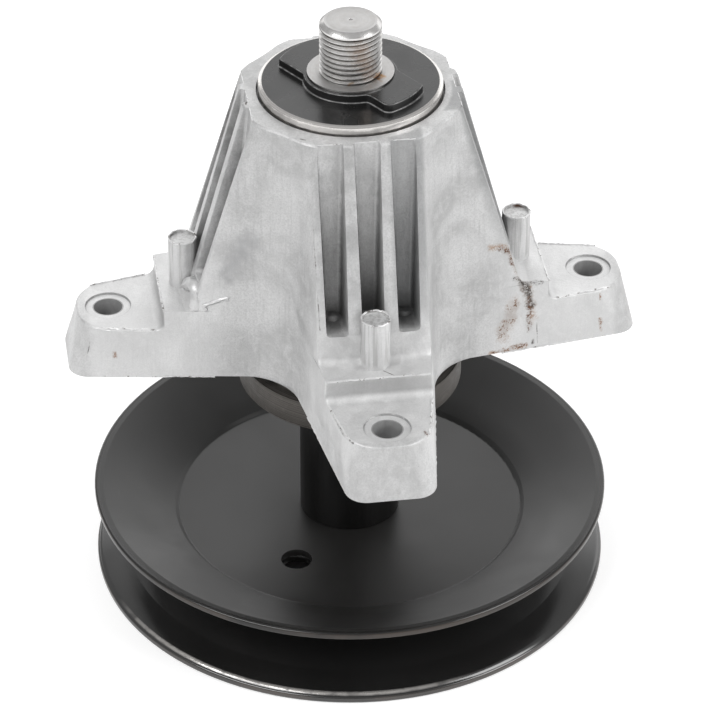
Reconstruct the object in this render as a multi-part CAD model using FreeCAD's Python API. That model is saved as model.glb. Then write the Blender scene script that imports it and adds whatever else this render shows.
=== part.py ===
import FreeCAD, Part
import math
import os

# A four-footed spindle that carries a mower blade at its upper end and is
# driven by a belt pulley at its lower end.  It stands on the pulley's rim.
# Millimetres, +Z up, the turning axis is the Z axis, Z = 0 under the pulley.
# The feet point along +X, +Y, -X and -Y.

V = FreeCAD.Vector
Z_AXIS = V(0, 0, 1)

# Pulley, two dished sheet halves joined back to back
pulley_diameter = 139.7
pulley_height = 23.4
sheet = 2.0
web_radius = 47.0          # the flat web of each half ends here
step_width = 1.1           # small step from the web to the belt flank
step_rise = 1.0038         # the belt flank rises evenly from there to the rim
lip_width = 2.4            # the flank flattens out to a level lip at the rim
bend_radius = 0.8
rim_edge_round = 0.7
web_hole_diameter = 8.3
web_hole_circle_radius = 30.0
web_hole_angle = -126.7
web_hole_count = 2

# Housing heights, counted from the mounting face under the feet
mount_face_z = 70.5
foot_thickness = 14.2      # up to the pad where the screw sits
shelf_height = 20.0        # level step between foot and buttress
groove_end_height = 26.8
boss_height = 33.5
housing_height = 74.5
neck_length = 4.4          # the neck and the pilot stand below the face
pilot_length = 8.3

# Housing in plan
foot_count = 4
hole_circle_radius = 64.0
foot_hole_diameter = 7.5
spot_face_diameter = 12.0
spot_face_depth = 0.5
toe_length = 11.4          # from the hole to the end of the foot
toe_lean = 3.2             # how much shorter the foot is at its pad
toe_corner = 5.5           # rounding of the toe at the mounting face
pad_corner = 10.6          # and at the pad
pad_edge_round = 0.6
pad_behind_hole = 13.4     # the pad ends at the shelf's wall
buttress_setback = 1.6     # the buttress ends this far behind that wall
arm_half_width = 14.85     # at the foot of the buttress
arm_taper = 0.155          # half width lost per millimetre of reach
arm_draft = 1.2            # half width lost from mounting face to shelf
arm_skin = 0.12            # arms stand this much proud of the tent walls
corner_radius = 16.0       # hollow corners between the arms
pad_root_radius = 2.5
shelf_root_radius = 3.0
mouth_wall = 4.35          # round top wall outside the adapter's bore
mouth_edge = 0.5           # bevel on top of that wall
crest_half_angle = 27.0    # share of the round top that becomes a buttress
side_half_angle = 33.5
crest_bulge = 1.2          # buttress corners stand out of the round top
side_bulge = 0.84
mount_relief = 0.5         # casting kept back from the mounting plane
relief_behind_hole = 11.0

# Three grooves run down every buttress and leave two ribs
groove_pitch = 9.2
groove_depth = 1.8         # at the round top
groove_lean = 4.6          # how far the floor leans outward on its way down
groove_width_top = 6.5
groove_width_bottom = 4.2
groove_rounding = 1.0
groove_draft = 4.0

# Ejector boss at the foot of every buttress
boss_radius = 3.75
boss_behind_end = 5.0      # from the buttress's end back to the boss
boss_rim = 0.55
boss_dish = 0.5

# Pilot and neck below the mounting plane
pilot_radius = 29.8
pilot_chamfer = 0.7
neck_step = 2.8

# Two pockets under every arm
pocket_wall = 4.2
pocket_roof = 4.5
pocket_outside_pilot = 3.2
pocket_behind_hole = 10.0
pocket_rib = 3.2
pocket_rounding = 2.0

# Ball bearings, both the same
bearing_bore = 20.0
bearing_outside = 47.0
bearing_width = 14.0
bearing_chamfer = 0.4
ball_diameter = 7.938
ball_count = 8
race_ratio = 1.04          # raceway radius over ball radius
race_clearance = 0.02
land_half_gap = 2.55       # from the pitch circle to either ring's land
seal_thickness = 0.7
seal_inset = 0.35
seal_seat_depth = 1.0
seal_lip_clearance = 0.08
cage_half_width = 1.7
cage_base = 1.2            # closed ring under the balls
cage_prong = 2.2           # prongs above the balls' middle
cage_clearance = 0.06
upper_recess = 2.0         # bearing faces behind the ends of the housing
lower_recess = 1.2
seat_shoulder = 2.0        # step in the bore that the outer rings rest on

# Shaft
collar_radius = 11.11
collar_stand_out = 0.5     # above the drive boss
thread_radius = 7.94
thread_length = 14.5
thread_end_step = 1.74     # end face smaller than the thread
thread_end_chamfer = 1.5
lower_end_recess = 0.4     # lower end inside the nut
drive_step = 0.5           # pulley seat smaller than the bearing bore
drive_flat_depth = 1.3
drive_recess = 0.3         # the flats end inside the pulley's web
sliding_fit = 0.03
running_gap = 0.05

# Blade adapter
adapter_radius = 23.5
adapter_lift = 1.0         # disc above the upper bearing
adapter_thickness = 3.5
adapter_bevel = 0.9
adapter_bevel_drop = 0.45
adapter_bore_gap = 0.55    # open ring between adapter and housing
drive_boss_height = 2.3
drive_boss_wall = 0.89     # round the collar
drive_boss_root = 0.5
drive_boss_edge = 0.35
lobe_inset = 4.2           # lobe tips inside the disc's edge
lobe_long_side = 9.7
lobe_short_side = 3.9
lobe_corner = 2.0
lobe_angle = -58.2

# Pieces that press on the inner rings stay inside the ring's land
hub_step = 0.6
tube_step = 0.7
sleeve_step = 1.0

# Washer and nut
washer_radius = 14.5
washer_thickness = 1.5
nut_across_flats = 23.8
nut_height = 8.0
nut_chamfer = 1.2
nut_face_step = 0.3

past = 1.0                 # cutters and joined pieces reach past the faces they meet

# Levels and radii that follow from the sizes above
quarter = 360.0 / foot_count
pulley_radius = pulley_diameter / 2
pulley_mid_z = pulley_height / 2
web_top_z = pulley_mid_z + sheet
web_bottom_z = pulley_mid_z - sheet
nut_top_z = web_bottom_z - washer_thickness
nut_bottom_z = nut_top_z - nut_height

pad_z = mount_face_z + foot_thickness
shelf_z = mount_face_z + shelf_height
groove_end_z = mount_face_z + groove_end_height
boss_top_z = mount_face_z + boss_height
housing_top_z = mount_face_z + housing_height
pilot_top_z = mount_face_z - neck_length
pilot_bottom_z = pilot_top_z - pilot_length

foot_reach = hole_circle_radius + toe_length
pad_start_radius = hole_circle_radius - pad_behind_hole
buttress_reach = pad_start_radius - buttress_setback
boss_circle_radius = buttress_reach - boss_behind_end
relief_radius = hole_circle_radius - relief_behind_hole
neck_radius = pilot_radius - neck_step
pocket_inner_radius = pilot_radius + pocket_outside_pilot
pocket_outer_radius = hole_circle_radius - pocket_behind_hole
adapter_bore_radius = adapter_radius + adapter_bore_gap
top_ring_radius = adapter_bore_radius + mouth_wall
groove_floor_top = top_ring_radius - groove_depth
groove_floor_bottom = groove_floor_top + groove_lean

bearing_bore_radius = bearing_bore / 2
bearing_seat_radius = bearing_outside / 2
shoulder_radius = bearing_seat_radius - seat_shoulder
ball_radius = ball_diameter / 2
pitch_radius = (bearing_bore_radius + bearing_seat_radius) / 2
inner_land_radius = pitch_radius - land_half_gap
outer_land_radius = pitch_radius + land_half_gap
seal_seat_radius = outer_land_radius + seal_seat_depth
upper_bearing_top_z = housing_top_z - upper_recess
upper_bearing_z = upper_bearing_top_z - bearing_width
lower_bearing_z = pilot_bottom_z + lower_recess
lower_bearing_top_z = lower_bearing_z + bearing_width

adapter_underside_z = upper_bearing_top_z + adapter_lift
adapter_face_z = adapter_underside_z + adapter_thickness
drive_boss_top_z = adapter_face_z + drive_boss_height
drive_boss_radius = collar_radius + drive_boss_wall
lobe_reach = adapter_radius - lobe_inset
collar_top_z = drive_boss_top_z + collar_stand_out
shaft_top_z = collar_top_z + thread_length
shaft_bottom_z = nut_bottom_z + lower_end_recess
shaft_radius = bearing_bore_radius - sliding_fit
thread_end_radius = thread_radius - thread_end_step
drive_radius = bearing_bore_radius - drive_step
drive_flat = drive_radius - drive_flat_depth
drive_bottom_z = web_bottom_z + drive_recess


def save(node, shape):
    shape.exportStep("parts/" + node + ".step")


def cylinder(radius, bottom, top, x=0.0, y=0.0):
    return Part.makeCylinder(radius, top - bottom, V(x, y, bottom))


def tube(inner, outer, bottom, top):
    return cylinder(outer, bottom, top).cut(cylinder(inner, bottom - past, top + past))


def turned(profile):
    """Solid of revolution about Z of a closed list of (radius, height)."""
    corners = [V(r, 0, z) for r, z in profile]
    face = Part.Face(Part.makePolygon(corners + corners[:1]))
    return face.revolve(V(0, 0, 0), Z_AXIS, 360)


def on_circle(radius, degrees, z):
    angle = math.radians(degrees)
    return V(radius * math.cos(angle), radius * math.sin(angle), z)


def rotated(shape, degrees):
    copy = shape.copy()
    copy.rotate(V(0, 0, 0), Z_AXIS, degrees)
    return copy


def around(shape, count=foot_count):
    return [rotated(shape, i * 360.0 / count) for i in range(count)]


def arc(start, middle, end):
    return Part.Arc(start, middle, end).toShape()


def line(start, end):
    return Part.makeLine(start, end)


def closed(corners):
    return Part.makePolygon(corners + corners[:1])


def prism(corners, height):
    """Upright prism over a list of points that share one height."""
    return Part.Face(closed(corners)).extrude(V(0, 0, height))


def edges_at(shape, test):
    """Edges whose middle and both ends pass the test."""
    found = []
    for edge in shape.Edges:
        middle = edge.valueAt((edge.FirstParameter + edge.LastParameter) / 2)
        if test(middle) and all(test(vertex.Point) for vertex in edge.Vertexes):
            found.append(edge)
    return found


def same(a, b):
    return abs(a - b) < 0.01


def upright_edges(shape):
    return [e for e in shape.Edges if e.BoundBox.ZLength > past / 2
            and e.BoundBox.XLength < 0.01 and e.BoundBox.YLength < 0.01]


def level_edges(edges):
    return [e for e in edges if e.BoundBox.ZLength < 0.01]


# Housing outline in plan

def arm_edge(reach):
    """Half width of an arm at its mounting face, at a distance from the axis."""
    return arm_half_width + (buttress_reach - reach) * arm_taper


def hollow_corner():
    """Start of the rounded corner between two arms and its point on the diagonal."""
    side_angle = math.radians(quarter / 2) + math.atan(arm_taper)
    meeting = arm_edge(0) / (1 + arm_taper)
    from_corner = corner_radius / math.tan(side_angle)
    direction = V(1, -arm_taper, 0).normalize()
    start = V(meeting, meeting, 0) + direction * from_corner
    gap = corner_radius / math.sin(side_angle) - corner_radius
    nearest = meeting * math.sqrt(2) + gap
    return start, nearest


def star_wire(z):
    """Closed outline of the housing where it meets the mounting plane."""
    start, nearest = hollow_corner()
    edges = []
    for i in range(foot_count):
        low = V(buttress_reach, -arm_half_width, z)
        high = V(buttress_reach, arm_half_width, z)
        near = V(start.x, start.y, z)
        far = V(start.y, start.x, z)
        next_low = V(arm_half_width, buttress_reach, z)
        middle = on_circle(nearest, quarter / 2, z)
        group = [line(low, high), line(high, near), arc(near, middle, far), line(far, next_low)]
        edges += [rotated(edge, i * quarter) for edge in group]
    return Part.Wire(edges)


def ring_wire(z, radius):
    """The same number of edges laid on a nearly round ring for the housing's top."""
    corner = radius + crest_bulge
    side = radius + side_bulge
    between = (crest_half_angle + side_half_angle) / 2

    def point(reach, degrees):
        return on_circle(reach, degrees, z)

    low = point(corner, -crest_half_angle)
    high = point(corner, crest_half_angle)
    near = point(side, side_half_angle)
    far = point(side, quarter - side_half_angle)
    next_low = point(corner, quarter - crest_half_angle)
    group = [
        arc(low, point(radius, 0), high),
        arc(high, point((corner + side) / 2, between), near),
        arc(near, point(radius, quarter / 2), far),
        arc(far, point((corner + side) / 2, quarter - between), next_low),
    ]
    edges = [rotated(edge, i * quarter) for i in range(foot_count) for edge in group]
    return Part.Wire(edges)


def tent():
    """Wall that leans from the bevelled round top out to the star-shaped base."""
    edge_z = housing_top_z - mouth_edge
    shoulder = ring_wire(edge_z, top_ring_radius)
    wall = Part.makeLoft([star_wire(mount_face_z), shoulder], True, True)
    top = ring_wire(housing_top_z, top_ring_radius - mouth_edge)
    return wall.fuse(Part.makeLoft([shoulder, top], True, True))


# Arms with foot, shelf, hole and pockets

def arm_section(z, reach):
    """Wire of one arm along +X at one height, cut off square at its reach."""
    root = pocket_inner_radius / 2
    inset = arm_draft * (z - mount_face_z) / shelf_height - arm_skin
    near = arm_edge(root) - inset
    far = arm_edge(reach) - inset
    return closed([V(root, -near, z), V(reach, -far, z), V(reach, far, z), V(root, near, z)])


def foot():
    """Foot along +X with a rounded toe."""
    pad_reach = foot_reach - toe_lean
    block = Part.makeLoft([arm_section(mount_face_z, foot_reach),
                           arm_section(pad_z, pad_reach)], True, True)
    toe_edges = [e for e in edges_at(block, lambda p: p.x > pad_reach - past)
                 if not same(e.Vertexes[0].Z, e.Vertexes[1].Z)]
    widest = arm_edge(pad_reach) - arm_draft
    return block.makeFillet(toe_corner, min(pad_corner, widest * 1.1), toe_edges)


def arm():
    """Foot and shelf along +X, without hole or pocket."""
    shelf = Part.makeLoft([arm_section(pad_z, pad_start_radius),
                           arm_section(shelf_z, pad_start_radius)], True, True)
    both = foot().fuse(shelf).removeSplitter()
    root = edges_at(both, lambda p: same(p.x, pad_start_radius) and same(p.z, pad_z))
    both = both.makeFillet(pad_root_radius, root)
    pad_start = pad_start_radius + pad_root_radius
    rim = [e for e in edges_at(both, lambda p: same(p.z, pad_z) and p.x > pad_start - 0.1)
           if e.BoundBox.XMax > pad_start + past]
    return both.makeFillet(pad_edge_round, rim)


def pocket():
    """Two hollows under the +X arm with a rib between them."""
    hollows = []
    depth = foot_thickness - pocket_roof
    start = mount_face_z - past
    for side in (-1, 1):
        inner_y = side * pocket_rib / 2
        near_y = side * (arm_edge(pocket_inner_radius) - pocket_wall)
        far_y = side * (arm_edge(pocket_outer_radius) - pocket_wall)
        hollow = prism([V(pocket_inner_radius, inner_y, start),
                        V(pocket_outer_radius, inner_y, start),
                        V(pocket_outer_radius, far_y, start),
                        V(pocket_inner_radius, near_y, start)], depth + past)
        hollows.append(hollow.makeFillet(pocket_rounding, upright_edges(hollow)))
    return hollows


def foot_hole():
    """Screw hole of the +X foot with its spot face."""
    hole = cylinder(foot_hole_diameter / 2, mount_face_z - past, pad_z + past,
                    hole_circle_radius)
    spot = cylinder(spot_face_diameter / 2, pad_z - spot_face_depth, pad_z + past,
                    hole_circle_radius)
    return hole.fuse(spot)


# Buttress details

def groove(offset):
    """Cutter for one drafted groove in the +X buttress."""
    outer = buttress_reach + past

    def section(z, floor, width):
        spread = (outer - floor) * math.tan(math.radians(groove_draft))
        near = width / 2
        far = near + spread
        return closed([V(floor, offset - near, z), V(outer, offset - far, z),
                       V(outer, offset + far, z), V(floor, offset + near, z)])

    top = section(housing_top_z, groove_floor_top, groove_width_top)
    bottom = section(groove_end_z, groove_floor_bottom, groove_width_bottom)
    above = section(housing_top_z + past, groove_floor_top, groove_width_top)
    cutter = Part.makeLoft([bottom, top], True, True)
    floor_edges = [e for e in cutter.Edges if e.BoundBox.XMax < groove_floor_bottom + 0.01
                   and e.BoundBox.ZMin < groove_end_z + 0.01]
    side_edges = [e for e in cutter.Edges if e.BoundBox.ZMax < groove_end_z + 0.01
                  and e.BoundBox.XLength > groove_width_bottom]
    cutter = cutter.makeFillet(groove_rounding, floor_edges + side_edges)
    return cutter.fuse(Part.makeLoft([top, above], True, True))


def ejector_boss():
    """Stub with a dished top at the foot of the +X buttress."""
    stub = cylinder(boss_radius, pad_z, boss_top_z, boss_circle_radius)
    dish = cylinder(boss_radius - boss_rim, boss_top_z - boss_dish, boss_top_z + past,
                    boss_circle_radius)
    return stub.cut(dish)


def pilot():
    """Neck and pilot ring below the mounting plane."""
    neck = cylinder(neck_radius, pilot_top_z - past, mount_face_z + past)
    ring = turned([(0, pilot_bottom_z), (pilot_radius - pilot_chamfer, pilot_bottom_z),
                   (pilot_radius, pilot_bottom_z + pilot_chamfer),
                   (pilot_radius, pilot_top_z), (0, pilot_top_z)])
    return [neck, ring]


def shelf_seams(body):
    """Edges where the flat shelves meet the buttresses."""
    def on_shelf(p):
        reach = max(abs(p.x), abs(p.y))
        return same(p.z, shelf_z) and top_ring_radius < reach < pad_start_radius - past

    return [e for e in edges_at(body, on_shelf) if e.Length > arm_half_width]


def housing_bore():
    """Two bearing seats with a smaller bore between them and the adapter's mouth."""
    return [
        cylinder(bearing_seat_radius, pilot_bottom_z - past, lower_bearing_top_z),
        cylinder(shoulder_radius, lower_bearing_top_z - past, upper_bearing_z + past),
        cylinder(bearing_seat_radius, upper_bearing_z, upper_bearing_top_z),
        cylinder(adapter_bore_radius, upper_bearing_top_z, housing_top_z + past),
    ]


def housing():
    body = tent().fuse(around(arm()))
    body = body.makeFillet(shelf_root_radius, shelf_seams(body))
    for offset in (-groove_pitch, 0, groove_pitch):
        body = body.cut(around(groove(offset)))
    body = body.fuse(around(ejector_boss()))
    body = body.fuse(pilot())
    relief_top = mount_face_z + mount_relief
    body = body.cut(tube(neck_radius, relief_radius, pilot_top_z, relief_top))
    for hollow in pocket():
        body = body.cut(around(hollow))
    body = body.cut(around(foot_hole()))
    return body.cut(housing_bore())


# Ball bearings

def race_groove(contact_radius, outward):
    """Ring whose round section cuts the raceway into a bearing ring."""
    radius = ball_radius * race_ratio
    centre = contact_radius + radius * outward
    return Part.makeTorus(centre, radius, V(0, 0, bearing_width / 2))


def bearing_outer_ring():
    ring = tube(outer_land_radius, bearing_seat_radius, 0, bearing_width)
    ring = ring.cut(race_groove(pitch_radius + ball_radius + race_clearance, -1))
    depth = seal_inset + seal_thickness
    ring = ring.cut([cylinder(seal_seat_radius, -past, depth),
                     cylinder(seal_seat_radius, bearing_width - depth, bearing_width + past)])
    outer = edges_at(ring, lambda p: same(math.hypot(p.x, p.y), bearing_seat_radius))
    return ring.makeChamfer(bearing_chamfer, level_edges(outer))


def bearing_inner_ring():
    ring = tube(bearing_bore_radius, inner_land_radius, 0, bearing_width)
    ring = ring.cut(race_groove(pitch_radius - ball_radius - race_clearance, 1))
    inner = edges_at(ring, lambda p: same(math.hypot(p.x, p.y), bearing_bore_radius))
    return ring.makeChamfer(bearing_chamfer, level_edges(inner))


def ball_shapes(radius):
    balls = []
    for i in range(ball_count):
        centre = on_circle(pitch_radius, i * 360.0 / ball_count, bearing_width / 2)
        balls.append(Part.makeSphere(radius, centre))
    return balls


def bearing_cage():
    """Crown cage: a ring under the balls with open pockets between its prongs."""
    pocket_radius = ball_radius + cage_clearance
    middle = bearing_width / 2
    ring = tube(pitch_radius - cage_half_width, pitch_radius + cage_half_width,
                middle - pocket_radius - cage_base, middle + cage_prong)
    return ring.cut(ball_shapes(pocket_radius))


def bearing_seal(bottom):
    inner = inner_land_radius + seal_lip_clearance
    return tube(inner, seal_seat_radius, bottom, bottom + seal_thickness)


def bearing(name, base):
    """Save the pieces of one ball bearing standing at a height."""
    pieces = {
        "outer_ring": bearing_outer_ring(),
        "inner_ring": bearing_inner_ring(),
        "balls": Part.makeCompound(ball_shapes(ball_radius)),
        "cage": bearing_cage(),
        "lower_seal": bearing_seal(seal_inset),
        "upper_seal": bearing_seal(bearing_width - seal_inset - seal_thickness),
    }
    for piece, shape in pieces.items():
        shape.translate(V(0, 0, base))
        save(name + "_" + piece, shape)


# Shaft with the pieces that turn with it

def two_flats(radius, flat, bottom, top):
    """Round bar with two parallel flats."""
    block = Part.makeBox(2 * flat, 4 * radius, top - bottom,
                         V(-flat, -2 * radius, bottom))
    return cylinder(radius, bottom, top).common(block)


def threaded_end(end_z, inner_z):
    """Thread blank between its chamfered end face and a level inside the shaft."""
    chamfer_z = end_z + math.copysign(thread_end_chamfer, inner_z - end_z)
    return turned([(0, inner_z), (thread_radius, inner_z), (thread_radius, chamfer_z),
                   (thread_end_radius, end_z), (0, end_z)])


def shaft():
    collar = cylinder(collar_radius, upper_bearing_top_z, collar_top_z)
    journal = cylinder(shaft_radius, web_top_z + sliding_fit, upper_bearing_top_z + past)
    seat = two_flats(drive_radius, drive_flat, drive_bottom_z, web_top_z + past)
    upper_thread = threaded_end(shaft_top_z, collar_top_z - past)
    lower_thread = threaded_end(shaft_bottom_z, drive_bottom_z + past)
    return journal.fuse([collar, upper_thread, seat, lower_thread]).removeSplitter()


def lobe():
    """One arm of the raised drive figure, long side parallel to +X."""
    bottom = adapter_face_z - past
    block = Part.makeBox(lobe_reach + past, lobe_long_side + lobe_short_side,
                         drive_boss_top_z - bottom, V(0, -lobe_short_side, bottom))
    return block.common(cylinder(lobe_reach, bottom, drive_boss_top_z))


def drive_boss():
    """Raised S-shaped figure that locks the blade to the adapter."""
    figure = cylinder(drive_boss_radius, adapter_face_z - past, drive_boss_top_z)
    figure = figure.fuse([lobe(), rotated(lobe(), 180)]).removeSplitter()
    rounded = [e for e in upright_edges(figure)
               if same(abs(e.Vertexes[0].Y), lobe_short_side)]
    return rotated(figure.makeFillet(lobe_corner, rounded), lobe_angle)


def blade_adapter():
    inner = collar_radius + sliding_fit
    hub_radius = inner_land_radius - hub_step
    disc = turned([
        (inner, upper_bearing_top_z), (hub_radius, upper_bearing_top_z),
        (hub_radius, adapter_underside_z), (adapter_radius, adapter_underside_z),
        (adapter_radius, adapter_face_z - adapter_bevel_drop),
        (adapter_radius - adapter_bevel, adapter_face_z), (inner, adapter_face_z)])
    adapter = disc.fuse(drive_boss()).removeSplitter()
    root = edges_at(adapter, lambda p: same(p.z, adapter_face_z)
                    and math.hypot(p.x, p.y) < lobe_reach + past / 2)
    adapter = adapter.makeFillet(drive_boss_root, root)
    edge = edges_at(adapter, lambda p: same(p.z, drive_boss_top_z))
    adapter = adapter.makeFillet(drive_boss_edge, edge)
    bore = cylinder(inner, upper_bearing_top_z - past, drive_boss_top_z + past)
    return adapter.cut(bore)


# Pulley

def parallel(points, distance):
    """Points of the line that runs beside an open line, on its lower side."""
    normals = []
    for (r1, z1), (r2, z2) in zip(points, points[1:]):
        length = math.hypot(r2 - r1, z2 - z1)
        normals.append(((z2 - z1) / length, (r1 - r2) / length))
    befores = normals[:1] + normals
    afters = normals + normals[-1:]
    shifted = []
    for (r, z), (nr, nz), (mr, mz) in zip(points, befores, afters):
        reach = distance / (1 + nr * mr + nz * mz)
        shifted.append((r + reach * (nr + mr), z + reach * (nz + mz)))
    return shifted


def pulley_half():
    """Upper half of the pulley with its back on the middle plane."""
    lip_start = pulley_radius - lip_width
    step_end = web_radius + step_width
    step_top_z = web_top_z + step_rise
    upper_side = [(0, web_top_z), (web_radius, web_top_z), (step_end, step_top_z),
                  (lip_start, pulley_height), (pulley_radius, pulley_height)]
    half = turned(upper_side + parallel(upper_side, sheet)[::-1])
    bends = [e for e in level_edges(half.Edges)
             if web_radius - past < e.BoundBox.XMax < pulley_radius - past]
    half = half.makeFillet(bend_radius, bends)
    rim = [e for e in level_edges(half.Edges) if same(e.BoundBox.XMax, pulley_radius)]
    half = half.makeFillet(rim_edge_round, rim)
    bore = two_flats(drive_radius + running_gap, drive_flat + running_gap, 0, pulley_height)
    hole = cylinder(web_hole_diameter / 2, 0, pulley_height, web_hole_circle_radius)
    holes = around(rotated(hole, web_hole_angle), web_hole_count)
    return half.cut([bore] + holes)


def lock_nut():
    corner = nut_across_flats / math.sqrt(3)
    face = nut_across_flats / 2 - nut_face_step
    body = prism([on_circle(corner, 60 * i + 30, nut_bottom_z) for i in range(6)], nut_height)
    rounding = turned([
        (0, nut_bottom_z), (face, nut_bottom_z), (corner, nut_bottom_z + nut_chamfer),
        (corner, nut_top_z - nut_chamfer), (face, nut_top_z), (0, nut_top_z)])
    hole = cylinder(thread_radius, nut_bottom_z - past, nut_top_z + past)
    return body.common(rounding).cut(hole)


def spacers():
    """Sleeve between the inner rings and tube between lower bearing and pulley."""
    save("bearing_sleeve", tube(bearing_bore_radius, inner_land_radius - sleeve_step,
                                lower_bearing_top_z, upper_bearing_z))
    save("spacer_tube", tube(bearing_bore_radius, inner_land_radius - tube_step,
                             web_top_z, lower_bearing_z))


def main():
    os.makedirs("parts", exist_ok=True)
    save("spindle_housing", housing())
    bearing("upper_bearing", upper_bearing_z)
    bearing("lower_bearing", lower_bearing_z)
    save("spindle_shaft", shaft())
    save("blade_adapter", blade_adapter())
    spacers()
    upper_half = pulley_half()
    save("pulley_upper_half", upper_half)
    save("pulley_lower_half", upper_half.mirror(V(0, 0, pulley_mid_z), Z_AXIS))
    save("washer", tube(thread_radius + sliding_fit, washer_radius, nut_top_z, web_bottom_z))
    save("lock_nut", lock_nut())


main()
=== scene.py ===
import math

import bpy
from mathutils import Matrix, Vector

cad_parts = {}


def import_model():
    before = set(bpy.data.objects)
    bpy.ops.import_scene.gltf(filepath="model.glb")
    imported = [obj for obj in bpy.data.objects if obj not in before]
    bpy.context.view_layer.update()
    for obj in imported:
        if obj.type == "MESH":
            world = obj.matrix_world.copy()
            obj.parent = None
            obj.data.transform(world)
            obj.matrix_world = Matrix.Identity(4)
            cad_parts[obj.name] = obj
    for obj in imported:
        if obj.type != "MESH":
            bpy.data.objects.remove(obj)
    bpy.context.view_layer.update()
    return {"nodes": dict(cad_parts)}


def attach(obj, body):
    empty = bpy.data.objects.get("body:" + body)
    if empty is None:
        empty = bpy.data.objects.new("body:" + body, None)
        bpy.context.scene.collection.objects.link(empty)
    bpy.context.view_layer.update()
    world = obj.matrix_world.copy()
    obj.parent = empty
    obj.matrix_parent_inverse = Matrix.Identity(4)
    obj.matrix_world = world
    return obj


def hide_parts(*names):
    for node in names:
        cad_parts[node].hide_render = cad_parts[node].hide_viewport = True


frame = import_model()

MM = 0.001

# Sizes of the modelled part that the finishing follows, in millimetres
FOOT_COUNT = 4
MOUNT_FACE = 70.5
PILOT_TOP = 66.1
HOUSING_TOP = 145.0
SHELF_TOP = 90.5
PAD_TOP = 84.7
PAD_START = 50.6
HOLE_CIRCLE = 64.0
HOLE_RADIUS = 3.75
SPOT_FACE_RADIUS = 6.0
COLLAR_TOP = 150.3
PLATE_TOP = 147.5
DRIVE_BOSS_TOP = 149.8
RIM_RADIUS = 69.85
RIM_CURL = 2.2
RIM_CURL_LEAN = 16.3
RIM_CURL_HEIGHT = 0.59
SHAFT_TOP = 164.8
THREAD_RADIUS = 7.94
THREAD_PITCH = 1.411
THREAD_DEPTH = 0.85
THREAD_CREST = 0.17
THREAD_END_RADIUS = 6.75
THREAD_END_CHAMFER = 1.05
THREAD_END_BAND = 0.8
CENTRE_MARK = 0.55
ADAPTER_RADIUS = 23.5
ADAPTER_BEVEL = 0.9
BOSS_CIRCLE = 44.0
BOSS_RADIUS = 3.75
BOSS_TOP = 104.0
GROOVE_PITCH = 9.2
GROOVE_WIDTH = 6.5
GROOVE_FLOOR = 26.6
ARM_HALF_WIDTH = 14.85
ARM_TAPER = 0.155
ARM_TIP = 49.0
SEAM = 0.002


# Modelling by hand

def deselect():
    if bpy.context.object and bpy.context.object.mode != "OBJECT":
        bpy.ops.object.mode_set(mode="OBJECT")
    bpy.ops.object.select_all(action="DESELECT")


def pick(piece):
    deselect()
    piece.select_set(True)
    bpy.context.view_layer.objects.active = piece


def edit(piece):
    """Edit mode on one piece with all of it selected."""
    pick(piece)
    bpy.ops.object.mode_set(mode="EDIT")
    bpy.ops.mesh.select_all(action="SELECT")


def leave_edit():
    bpy.ops.object.mode_set(mode="OBJECT")


def apply_modifier(piece, kind, **settings):
    pick(piece)
    modifier = piece.modifiers.new(kind.title(), kind)
    for setting, value in settings.items():
        setattr(modifier, setting, value)
    bpy.ops.object.modifier_apply(modifier=modifier.name)


def turn(piece, degrees):
    """Turn a piece's mesh about the turning axis."""
    edit(piece)
    bpy.ops.transform.rotate(value=-math.radians(degrees), orient_axis="Z",
                             center_override=(0, 0, 0))
    leave_edit()


def join(pieces, name):
    deselect()
    for piece in pieces:
        piece.select_set(True)
    bpy.context.view_layer.objects.active = pieces[0]
    bpy.ops.object.join()
    pieces[0].name = name
    return pieces[0]


def smooth(piece, degrees=35):
    pick(piece)
    bpy.ops.object.shade_smooth_by_angle(angle=math.radians(degrees))


def copy_of(node, name):
    """A free copy of a modelled node, its seams merged."""
    piece = bpy.data.objects.new(name, frame["nodes"][node].data.copy())
    bpy.context.scene.collection.objects.link(piece)
    edit(piece)
    bpy.ops.mesh.customdata_custom_splitnormals_clear()
    bpy.ops.mesh.remove_doubles(threshold=SEAM * MM)
    leave_edit()
    return piece


def drawn_line(name, points):
    """An open line of joined edges through points in millimetres, drawn by extruding."""
    deselect()
    bpy.ops.mesh.primitive_plane_add(size=MM)
    piece = bpy.context.object
    piece.name = name
    edit(piece)
    bpy.ops.mesh.merge(type="CENTER")
    bpy.ops.transform.translate(value=Vector(points[0]) * MM)
    for start, end in zip(points, points[1:]):
        step = (Vector(end) - Vector(start)) * MM
        bpy.ops.mesh.extrude_region_move(TRANSFORM_OT_translate={"value": step})
    leave_edit()
    return piece


def cut_off(piece, height, above):
    """Cut a piece level at a height and close it, dropping what is above or below."""
    edit(piece)
    bpy.ops.mesh.bisect(plane_co=(0, 0, height * MM), plane_no=(0, 0, 1), use_fill=True,
                        clear_outer=above, clear_inner=not above)
    leave_edit()


def turned_piece(name, points, steps=96):
    """Piece of revolution about the turning axis from a line of (radius, height)."""
    piece = drawn_line(name, [(r, 0, z) for r, z in points])
    apply_modifier(piece, "SCREW", axis="Z", steps=steps, render_steps=steps,
                   use_merge_vertices=True, merge_threshold=0.001 * MM)
    edit(piece)
    bpy.ops.mesh.remove_doubles(threshold=0.001 * MM)
    bpy.ops.mesh.normals_make_consistent(inside=False)
    leave_edit()
    return piece


# Shader building

def put(tree, kind, sockets=None, **settings):
    """Add a node, set its options, and link or set its sockets."""
    made = tree.nodes.new("ShaderNode" + kind)
    for option, value in settings.items():
        setattr(made, option, value)
    for socket, value in (sockets or {}).items():
        if isinstance(value, bpy.types.NodeSocket):
            tree.links.new(value, made.inputs[socket])
        else:
            made.inputs[socket].default_value = value
    return made


def maths(tree, operation, *values, clamp=False):
    return put(tree, "Math", dict(enumerate(values)), operation=operation,
               use_clamp=clamp).outputs[0]


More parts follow.
